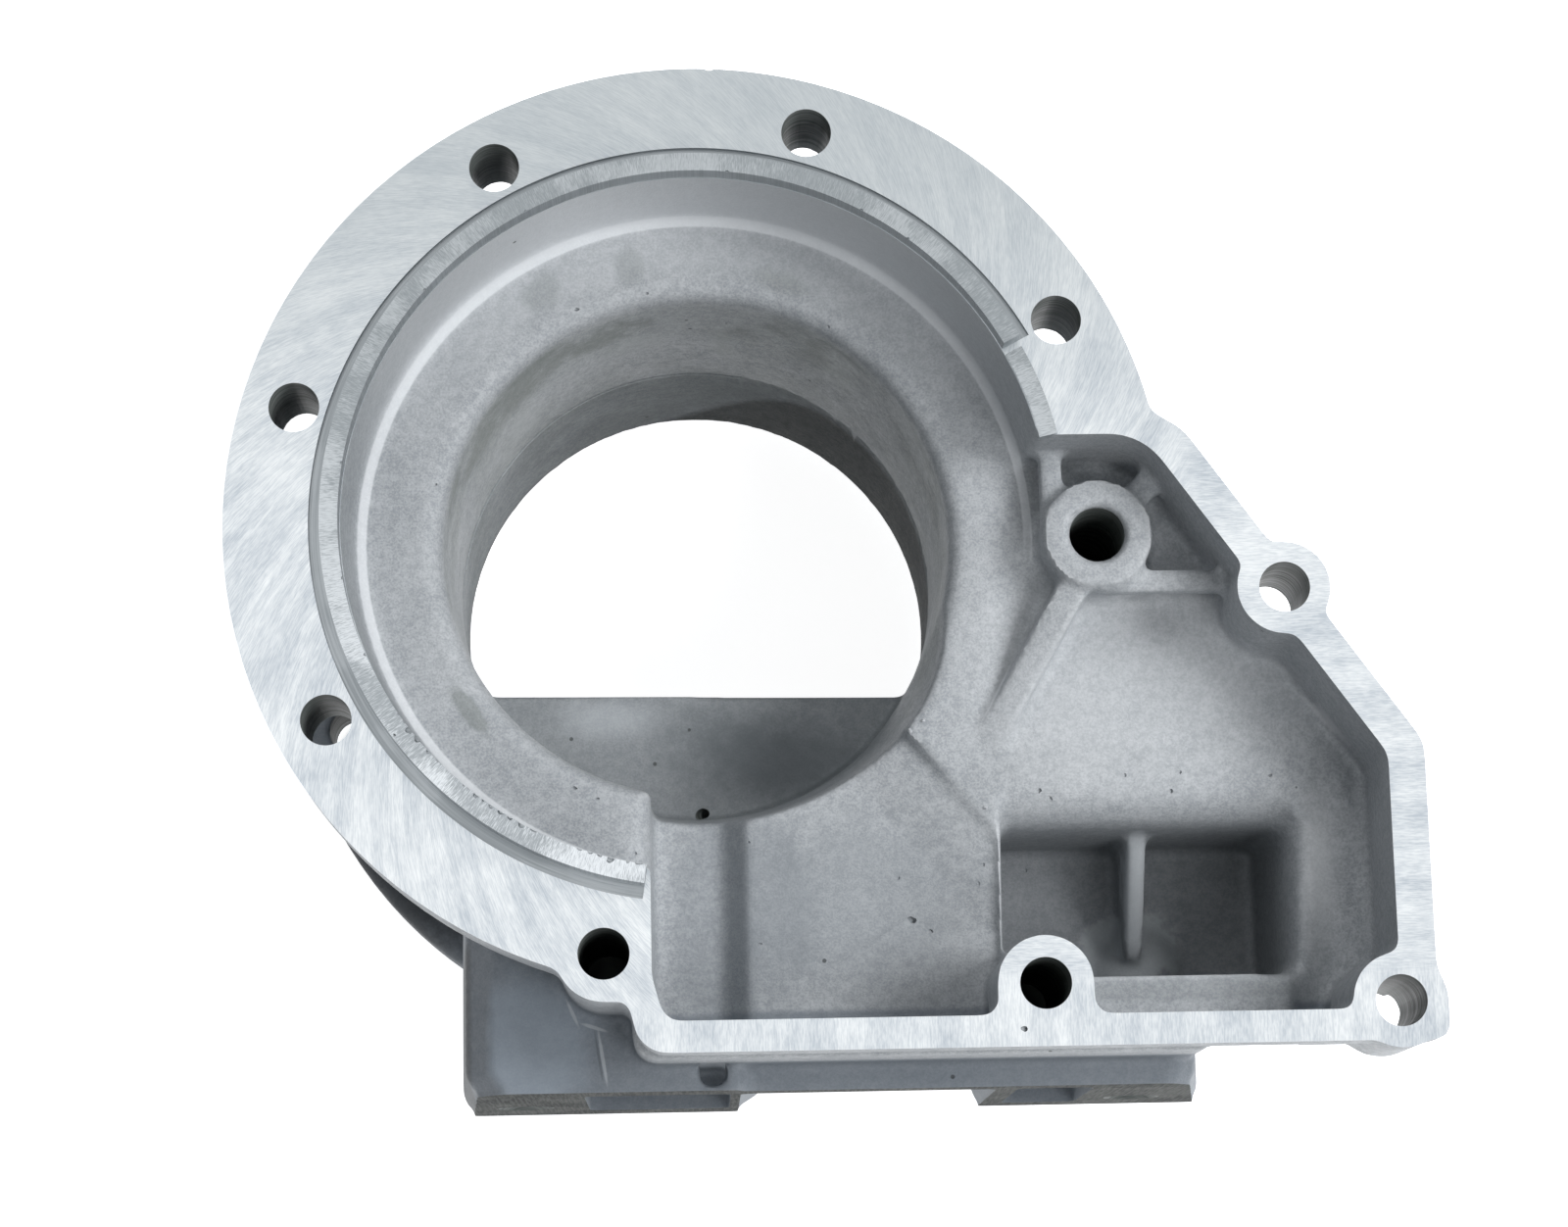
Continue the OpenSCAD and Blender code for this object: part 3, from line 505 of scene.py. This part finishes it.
# the drain hole is closed here and drilled later, and each machined face gets its stock
DRAIN_X, DRAIN_Y = 0.8 * MM, -54.1 * MM
GROOVE_CUT = 1.4 * MM
UNDER_RING = FACE_Z - GROOVE_CUT
ABOVE_REAR = 0.5 * MM
ABOVE_SOLE = SOLE_Y + 0.9 * MM
bpy.ops.mesh.primitive_cylinder_add(
    vertices=24, radius=3 * MM, depth=5.6 * MM, location=(DRAIN_X, DRAIN_Y, 66 * MM)
)
bpy.ops.object.transform_apply()
join_shape(casting, bpy.context.object, "UNION")
join_shape(casting, block((-0.3, ABOVE_SOLE, ABOVE_REAR), (0.3, 0.3, UNDER_RING)), "INTERSECT")
add_stock(casting, UNDER_RING, Vector((0, 0, 1)), GROOVE_CUT + STOCK)
add_stock(casting, -ABOVE_REAR, Vector((0, 0, -1)), STOCK)
add_stock(casting, -ABOVE_SOLE, Vector((0, -1, 0)), STOCK)
finish_with(casting, "REMESH", mode="VOXEL", voxel_size=0.9 * MM)


def smooth_where(piece, name, chosen, iterations):
    """Smooths the points that chosen(x, y, z), in millimetres, gives a weight between 0 and 1."""
    places = np.empty(3 * len(piece.data.vertices))
    piece.data.vertices.foreach_get("co", places)
    weights = np.round(chosen(*(places.reshape(-1, 3).T / MM)), 1)
    group = piece.vertex_groups.new(name=name)
    for share in np.unique(weights):
        if share > 0:
            group.add(np.flatnonzero(weights == share).tolist(), float(share), "REPLACE")
    finish_with(piece, "SMOOTH", factor=0.5, iterations=iterations, vertex_group=name)
    piece.vertex_groups.clear()


def fade(value, low, high):
    return np.clip((value - low) / (high - low), 0.0, 1.0)


def away_from_cells(x, y, z):
    """The small cells round the shaft boss keep the sharp corners of their cores."""
    at_cells = fade(x, 64, 67) * fade(x, 126, 123) * fade(y, -24, -21) * fade(y, 31, 28) * fade(z, 102, 105)
    return 1.0 - 0.9 * at_cells


def at_trough_edge(x, y, z):
    """The recess runs out into the side trough over a broad round edge."""
    across = fade(x, 121, 125) * fade(x, 139, 135)
    along = fade(y, -103, -99) * fade(y, -56, -62)
    return across * along * fade(z, 101, 106) * fade(z, 121, 119)


smooth_where(casting, "all_round", away_from_cells, 5)
smooth_where(casting, "round_edge", at_trough_edge, 40)
KEPT_TRIANGLES = 150000
finish_with(casting, "DECIMATE", ratio=KEPT_TRIANGLES / (2.0 * len(casting.data.polygons)))

# Milled faces
# The front face, the rear face and the soles are milled flat. The cutter's
# teeth leave fine bright arcs that lean across the flange.
marks, given, out = new_effect("tool_marks", [("Track", "Vector")], ["Streak", "Sheen"])
join_up(marks, ramp(marks, speckle(marks, given["Track"], 1.0, 2.0, 0.65), 0.33, 0.67), out["Streak"])
join_up(marks, ramp(marks, speckle(marks, given["Track"], 0.07, 4.0, 0.65), 0.38, 0.62), out["Sheen"])


def stroke(tree, *sizes):
    """Where a cutter's stroke lies: each value times how fine the marks are along it."""
    return point_at(tree, *(times(tree, value, fineness) for value, fineness in sizes))


def around(tree, x, y, lean=0.0):
    """Distance from the bore's axis, and sine and cosine of the angle round it, turned by a lean."""
    distance = off_axis(tree, x, y)
    angle = maths(tree, "ARCTAN2", y, x)
    if lean:
        log = maths(tree, "LOGARITHM", maths(tree, "DIVIDE", distance, 0.09), math.e)
        angle = maths(tree, "SUBTRACT", angle, times(tree, log, lean))
    return distance, maths(tree, "SINE", angle), maths(tree, "COSINE", angle)


milled_face, tree, shader, place, (x, y, z) = new_finish("milled_face", 1.0)
distance, sine, cosine = around(tree, x, y, 1.15)
arcs = use_effect(tree, marks, Track=stroke(tree, (sine, 260.0), (cosine, 260.0), (distance, 520.0)))
across_x = use_effect(tree, marks, Track=stroke(tree, (x, 2400.0), (y, 330.0), (0.0, 1.0)))
across_y = use_effect(tree, marks, Track=stroke(tree, (x, 330.0), (y, 2400.0), (5.0, 1.0)))
on_lobe = ramp(tree, distance, 104 * MM, 110 * MM)
on_bottom = ramp(tree, y, -97 * MM, -103 * MM)
streak = blend(tree, on_bottom, across_y["Streak"], across_x["Streak"])
streak = blend(tree, on_lobe, arcs["Streak"], streak)
sheen = blend(tree, on_lobe, arcs["Sheen"], blend(tree, on_bottom, across_y["Sheen"], across_x["Sheen"]))
cloud = ramp(tree, speckle(tree, place, 55.0, 5.0, 0.65), 0.36, 0.64)
level = maths(tree, "ADD", times(tree, streak, 0.4), times(tree, sheen, 0.32))
level = maths(tree, "ADD", level, times(tree, cloud, 0.28))
colour = blend(tree, level, (0.56, 0.61, 0.66, 1), (0.97, 0.995, 1.0, 1))
# painted shade: the milled face darkens towards +Y
painted_shade_to_top = ramp(tree, y, -10 * MM, 95 * MM, 0.0, 0.66)
colour = blend(tree, painted_shade_to_top, colour, (0.46, 0.495, 0.505, 1))
tree.links.new(colour, shader.inputs["Base Color"])
tree.links.new(ramp(tree, streak, 0.0, 1.0, 0.5, 0.36), shader.inputs["Roughness"])
relief(tree, shader, streak, 0.012 * MM)

join_shape(casting, block((-0.3, -0.3, 0), (0.3, 0.3, FACE_Z)), "INTERSECT", milled_face)

# the soles are milled; their dark colour is painted shade
sole_painted_shade, tree, shader, place, (x, y, z) = new_finish("sole_painted_shade", 0.1)
shader.inputs["Specular IOR Level"].default_value = 0.07
sole = use_effect(tree, marks, Track=stroke(tree, (x, 1700.0), (0.0, 1.0), (z, 90.0)))
sole_patches = ramp(tree, speckle(tree, place, 60.0, 4.0, 0.6), 0.35, 0.65)
level = maths(tree, "ADD", times(tree, sole["Streak"], 0.4), times(tree, sole_patches, 0.6))
colour = blend(tree, level, (0.04, 0.043, 0.043, 1), (0.12, 0.125, 0.12, 1))
tree.links.new(colour, shader.inputs["Base Color"])
tree.links.new(ramp(tree, sole["Streak"], 0.0, 1.0, 0.85, 0.7), shader.inputs["Roughness"])
relief(tree, shader, sole["Streak"], 0.012 * MM)
join_shape(casting, block((-0.3, SOLE_Y, -0.1), (0.3, 0.3, 0.3)), "INTERSECT", sole_painted_shade)

# Pilot ring
# The ring that centres the gearbox is turned in the same setting as the
# bore, with a shallow relief groove round it. Most of it stands 5 mm proud;
# the short length above the pocket is faced almost flush.
RING_IN = 76.8 * MM
RING_OUT = 80.8 * MM
RELIEF_OUT = 83.6 * MM
RING_TOP = FACE_Z + 5 * MM
RELIEF_Z = FACE_Z - 1 * MM
RING_FROM = math.radians(28.5)
RING_TO = math.radians(261.4)
LOW_RING_FROM = math.radians(12.5)
LOW_RING_TO = math.radians(27.4)

turned_ring, tree, shader, place, (x, y, z) = new_finish("turned_ring", 1.0)
distance, sine, cosine = around(tree, x, y)
teeth = use_effect(tree, marks, Track=stroke(tree, (sine, 420.0), (cosine, 420.0), (distance, 620.0)))
in_or_down = maths(tree, "ADD", distance, z)
turns = use_effect(tree, marks, Track=stroke(tree, (sine, 3.0), (cosine, 3.0), (in_or_down, 2600.0)))
on_top = ramp(tree, z, FACE_Z + 0.3 * MM, FACE_Z + 0.5 * MM)
streak = blend(tree, on_top, turns["Streak"], teeth["Streak"])
cloud = ramp(tree, speckle(tree, place, 45.0, 3.0, 0.6), 0.4, 0.62)
level = maths(tree, "ADD", times(tree, streak, 0.5), times(tree, cloud, 0.5))
level = ramp(tree, level, 0.12, 0.88)
colour = blend(tree, level, (0.42, 0.45, 0.47, 1), (0.88, 0.915, 0.94, 1))
# painted shade: the turned metal darkens towards +Y
colour = blend(tree, ramp(tree, y, -75 * MM, 60 * MM, 0.0, 0.6), colour, (0.27, 0.295, 0.305, 1))
# painted shade on the ring's walls and on turned faces below the front face, the groove among them
under_top = ramp(tree, z, FACE_Z + 4.96 * MM, FACE_Z + 4.8 * MM)
over_low_ring = ramp(tree, z, FACE_Z + 0.62 * MM, FACE_Z + 0.75 * MM)
in_groove = ramp(tree, z, FACE_Z + 0.4 * MM, FACE_Z + 0.1 * MM)
walls = maths(tree, "MAXIMUM", times(tree, under_top, over_low_ring), in_groove)
colour = tint(tree, colour, walls, 0.75, (0.36, 0.385, 0.4, 1))
tree.links.new(colour, shader.inputs["Base Color"])
tree.links.new(ramp(tree, streak, 0.0, 1.0, 0.46, 0.32), shader.inputs["Roughness"])
relief(tree, shader, streak, 0.015 * MM)


def turned_arc(inner, outer, low, high, start, stop):
    """Part of a turned ring: a rectangle spun about the bore, closed at both ends."""
    steps = max(8, int((stop - start) / math.radians(0.75)))
    outward = Vector((math.cos(start), math.sin(start), 0))
    bpy.ops.mesh.primitive_plane_add(size=0.001)
    ring = bpy.context.object
    corners = ((inner, low), (outer, low), (inner, high), (outer, high))
    for vertex, (radius, level) in zip(ring.data.vertices, corners):
        vertex.co = outward * radius + Vector((0, 0, level))
    grab(ring)
    bpy.ops.object.mode_set(mode="EDIT")
    bpy.ops.mesh.select_all(action="SELECT")
    bpy.ops.mesh.delete(type="ONLY_FACE")
    bpy.ops.mesh.select_all(action="SELECT")
    bpy.ops.mesh.spin(steps=steps, angle=stop - start, center=(0, 0, 0), axis=(0, 0, -1))
    bpy.ops.mesh.select_all(action="SELECT")
    bpy.ops.mesh.fill_holes(sides=4)
    bpy.ops.mesh.remove_doubles(threshold=1e-6)
    bpy.ops.mesh.normals_make_consistent(inside=False)
    bpy.ops.object.mode_set(mode="OBJECT")
    return ring


groove = turned_arc(RING_OUT, RELIEF_OUT, RELIEF_Z, FACE_Z + STOCK, RING_FROM, RING_TO)
join_shape(casting, groove, "DIFFERENCE", turned_ring)
tall_ring = turned_arc(RING_IN, RING_OUT, FACE_Z - 2 * MM, RING_TOP, RING_FROM, RING_TO)
join_shape(casting, tall_ring, "UNION", turned_ring)
low_ring = turned_arc(RING_IN, RING_OUT, FACE_Z - 2 * MM, FACE_Z + 0.6 * MM, LOW_RING_FROM, LOW_RING_TO)
join_shape(casting, low_ring, "UNION", turned_ring)

# Bolt holes
# Nine holes in the front flange, eight in the rear one, a register and a
# shaft bore, all drilled square to their faces; two threaded holes in the
# soles and one small drain hole through the oil dam.
drilled_wall, tree, shader, place, (x, y, z) = new_finish("drilled_wall", 0.15)
shader.inputs["Specular IOR Level"].default_value = 0.2
rings = use_effect(tree, marks, Track=stroke(tree, (x, 60.0), (y, 60.0), (z, 1900.0)))
# the holes' walls are coloured dark: painted shade inside the holes
colour = blend(tree, rings["Streak"], (0.06, 0.07, 0.068, 1), (0.17, 0.185, 0.18, 1))
tree.links.new(colour, shader.inputs["Base Color"])
tree.links.new(ramp(tree, rings["Streak"], 0.0, 1.0, 0.55, 0.42), shader.inputs["Roughness"])
relief(tree, shader, rings["Streak"], 0.02 * MM)


def drill(place, axis, radius, depth, end_radius=None):
    """A drill, or a countersink, that starts at a place and goes in along axis."""
    axis = Vector(axis).normalized()
    turn = axis.to_track_quat("Z", "Y").to_euler()
    where = {"location": Vector(place) + axis * depth / 2, "rotation": turn}
    if end_radius is None:
        bpy.ops.mesh.primitive_cylinder_add(vertices=72, radius=radius, depth=depth, **where)
    else:
        bpy.ops.mesh.primitive_cone_add(
            vertices=72, radius1=radius, radius2=end_radius, depth=depth, **where
        )
    bpy.ops.object.transform_apply()
    return bpy.context.object


BOLT_HOLE_R = 5.5 * MM
FRONT_CIRCLE_R = 90.5
REAR_CIRCLE_R = 89 * MM
rim_turns = [math.radians(28.5 + 45 * i) for i in range(5)]
front_bolts = [(FRONT_CIRCLE_R * math.cos(turn), FRONT_CIRCLE_R * math.sin(turn)) for turn in rim_turns]
front_bolts += [(-20.9, -94.1), (72.4, -101.9), (147.6, -106.9), (127.0, -17.25)]
ABOVE = 0.2
FRONT_HOLE_END = 85 * MM
for x, y in front_bolts:
    hole = drill((x * MM, y * MM, ABOVE), (0, 0, -1), BOLT_HOLE_R, ABOVE - FRONT_HOLE_END)
    join_shape(casting, hole, "DIFFERENCE", drilled_wall)
BELOW = -0.01
for i in range(8):
    turn = math.radians(16 + 45 * i)
    place = (REAR_CIRCLE_R * math.cos(turn), REAR_CIRCLE_R * math.sin(turn), BELOW)
    join_shape(casting, drill(place, (0, 0, 1), BOLT_HOLE_R, 31 * MM), "DIFFERENCE", drilled_wall)
register = drill((0, 0, BELOW), (0, 0, 1), 60 * MM, 15 * MM)
join_shape(casting, register, "DIFFERENCE", turned_ring)

SHAFT_R = 6.1 * MM
shaft = Vector((88.5 * MM, -1.8 * MM, FACE_Z - 13 * MM))
bore = drill(shaft - Vector((0, 0, BELOW)), (0, 0, -1), SHAFT_R, 52 * MM - BELOW)
join_shape(casting, bore, "DIFFERENCE", drilled_wall)
chamfer = drill(shaft + Vector((0, 0, 0.4 * MM)), (0, 0, -1), 7.7 * MM, 1.6 * MM, SHAFT_R)
join_shape(casting, chamfer, "DIFFERENCE", turned_ring)

FOOT_HOLE_R = 5.4 * MM
for x in (-41 * MM, 99 * MM):
    mouth = Vector((x, SOLE_Y - 2 * MM, FACE_Z - 80 * MM))
    for tool in (
        drill(mouth, (0, 1, 0), FOOT_HOLE_R, 28 * MM),
        drill(mouth, (0, 1, 0), 8.9 * MM, 2.8 * MM, FOOT_HOLE_R),
    ):
        join_shape(casting, tool, "DIFFERENCE", drilled_wall)
# the drain hole runs through the dam at a slant
drain = drill((DRAIN_X - 3 * MM, DRAIN_Y, 74 * MM), (0.6, 0, -1), 1.4 * MM, 18 * MM)
join_shape(casting, drain, "DIFFERENCE", drilled_wall)

# Marks of casting and handling
# Open pores, a ragged inner edge at the lower end of the ring, a nick in the
# rim, a few beads of metal at the creases and the parting line of the core.
random.seed(8)


def on_surface(x, y):
    """The highest point of the casting at x and y, in millimetres from the bore's axis."""
    bpy.context.view_layer.update()
    return casting.ray_cast(Vector((x * MM, y * MM, 0.3)), Vector((0, 0, -1)))[1]


def on_ring(radius, turn):
    """A place on top of the ring, at a turn in degrees."""
    turn = math.radians(turn)
    return Vector((radius * math.cos(turn), radius * math.sin(turn), RING_TOP))


def pebble(place, radius, flat=0.6):
    """A small rough lump."""
    bpy.ops.mesh.primitive_ico_sphere_add(subdivisions=2, radius=radius, location=place)
    lump = bpy.context.object
    for vertex in lump.data.vertices:
        vertex.co *= random.uniform(0.8, 1.15)
    lump.rotation_euler = (random.uniform(0, 3), random.uniform(0, 3), random.uniform(0, 3))
    lump.scale = (1.0, random.uniform(0.6, 1.0), flat)
    grab(lump)
    bpy.ops.object.transform_apply()
    return lump


def put_together(pieces):
    """Makes one object of several."""
    grab(pieces[0])
    for piece in pieces:
        piece.select_set(True)
    bpy.ops.object.join()
    return bpy.context.object


# places and sizes of the larger pores
pores = [
    (-26, 54.1, 0.7), (-10.2, 57.8, 0.6), (-57.8, 14, 0.5), (30.7, 49.6, 0.5),
    (-27.4, -54.9, 0.6), (-22.4, -57.4, 0.5), (-14.2, -69.6, 0.5), (-64.5, -47.5, 0.45),
    (46.4, -84.5, 1.2), (50.5, -87, 0.6), (12.9, -89.1, 0.5), (10.7, -66.5, 0.45),
    (43.7, -75.1, 0.45), (62.4, -72.8, 0.5), (61.2, -76.7, 0.5), (75, -56.8, 0.75),
    (77.6, -58.5, 0.55), (104.3, -57.4, 0.75), (106.4, -53.3, 0.5), (126.3, -54.3, 0.7),
    (132, -57, 0.45), (94.1, -53.7, 0.55), (75.4, -69, 0.6), (67.4, -111.5, 1.0),
]
holes = [pebble(on_surface(x, y) + Vector((0, 0, size * 0.15 * MM)), size * MM) for x, y, size in pores]
join_shape(casting, put_together(holes), "DIFFERENCE", cast_skin)
# the ring's inner edge is ragged at its lower end and has a few chips elsewhere
chips = []
turn = 214.0
while turn < 260.5:
    size = random.uniform(0.35, 1.25) * MM
    inner = RING_IN - random.uniform(-0.3, 0.7) * MM
    chips.append(pebble(on_ring(inner, turn), size, 0.8))
    turn += math.degrees(2.3 * size / RING_IN) + random.uniform(0.0, 1.0)
for turn in (52, 61, 84, 118, 139, 171, 190, 203):
    chips.append(pebble(on_ring(RING_IN, turn), 0.5 * MM, 0.8))
join_shape(casting, put_together(chips), "DIFFERENCE", turned_ring)
# a nick in the rim and beads of metal at the creases
nick = drill((4.4 * MM, 103.2 * MM, FACE_Z + 1 * MM), (0.1, 0, -1), 1.7 * MM, 7 * MM)
join_shape(casting, nick, "DIFFERENCE", cast_skin)
for x, y, size in [(46.6, -43.4, 0.8), (49.6, -41.2, 0.55), (62.9, -60.4, 0.6)]:
    join_shape(casting, pebble(on_surface(x, y), size * MM, 0.7), "UNION")
# the two halves of the core left a fine step right round the throat
parting = turned_arc(55.4 * MM, 57.5 * MM, 55.7 * MM, 56.1 * MM, math.radians(78), math.radians(172))
join_shape(casting, parting, "UNION")

# Finished housing
# Edges are lighter, partly where the blaster and handling have rubbed them
# and partly as painted highlight, and inner corners carry painted shade. How
# far each point stands out from its neighbours is kept with the mesh for the
# cast skin. Low in the throat a copy of the skin without a shine paints shade.
count = len(casting.data.vertices)
places, outward, ends = np.empty(3 * count), np.empty(3 * count), np.empty(2 * len(casting.data.edges), int)
casting.data.vertices.foreach_get("co", places)
casting.data.vertex_normals.foreach_get("vector", outward)
casting.data.edges.foreach_get("vertices", ends)
places, outward = places.reshape(-1, 3), outward.reshape(-1, 3)
ends = np.concatenate((ends.reshape(-1, 2), ends.reshape(-1, 2)[:, ::-1]))
here, there = ends.T
step = places[there] - places[here]
SHORTEST_EDGE = 0.4 * MM
reach = np.maximum(np.linalg.norm(step, axis=1), SHORTEST_EDGE) ** 2
shared = np.maximum(np.bincount(here, minlength=count), 1)
bulge = np.bincount(here, -(step * outward[here]).sum(axis=1) / reach, count) / shared
for spread in range(2):
    bulge = 0.5 * bulge + 0.5 * np.bincount(here, bulge[there], count) / shared
wear_and_shade = casting.data.attributes.new("edge_wear_highlight_and_shade", "FLOAT", "POINT")
wear_and_shade.data.foreach_set("value", np.clip(bulge * 4 * MM, -1.0, 1.0))

middles = np.empty(3 * len(casting.data.polygons))
finishes = np.empty(len(casting.data.polygons), int)
casting.data.polygons.foreach_get("center", middles)
casting.data.polygons.foreach_get("material_index", finishes)
middles = middles.reshape(-1, 3) / MM
inside_throat = np.hypot(middles[:, 0], middles[:, 1]) < 61.5
below_parting = middles[:, 2] < 56.2
as_cast = finishes == list(casting.data.materials).index(cast_skin)
casting.data.materials.append(dull_shaded_skin)
finishes[inside_throat & below_parting & as_cast] = len(casting.data.materials) - 1
casting.data.polygons.foreach_set("material_index", finishes)

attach(casting, "root")
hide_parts("housing")
grab(casting)
bpy.ops.object.shade_smooth_by_angle(angle=math.radians(32))
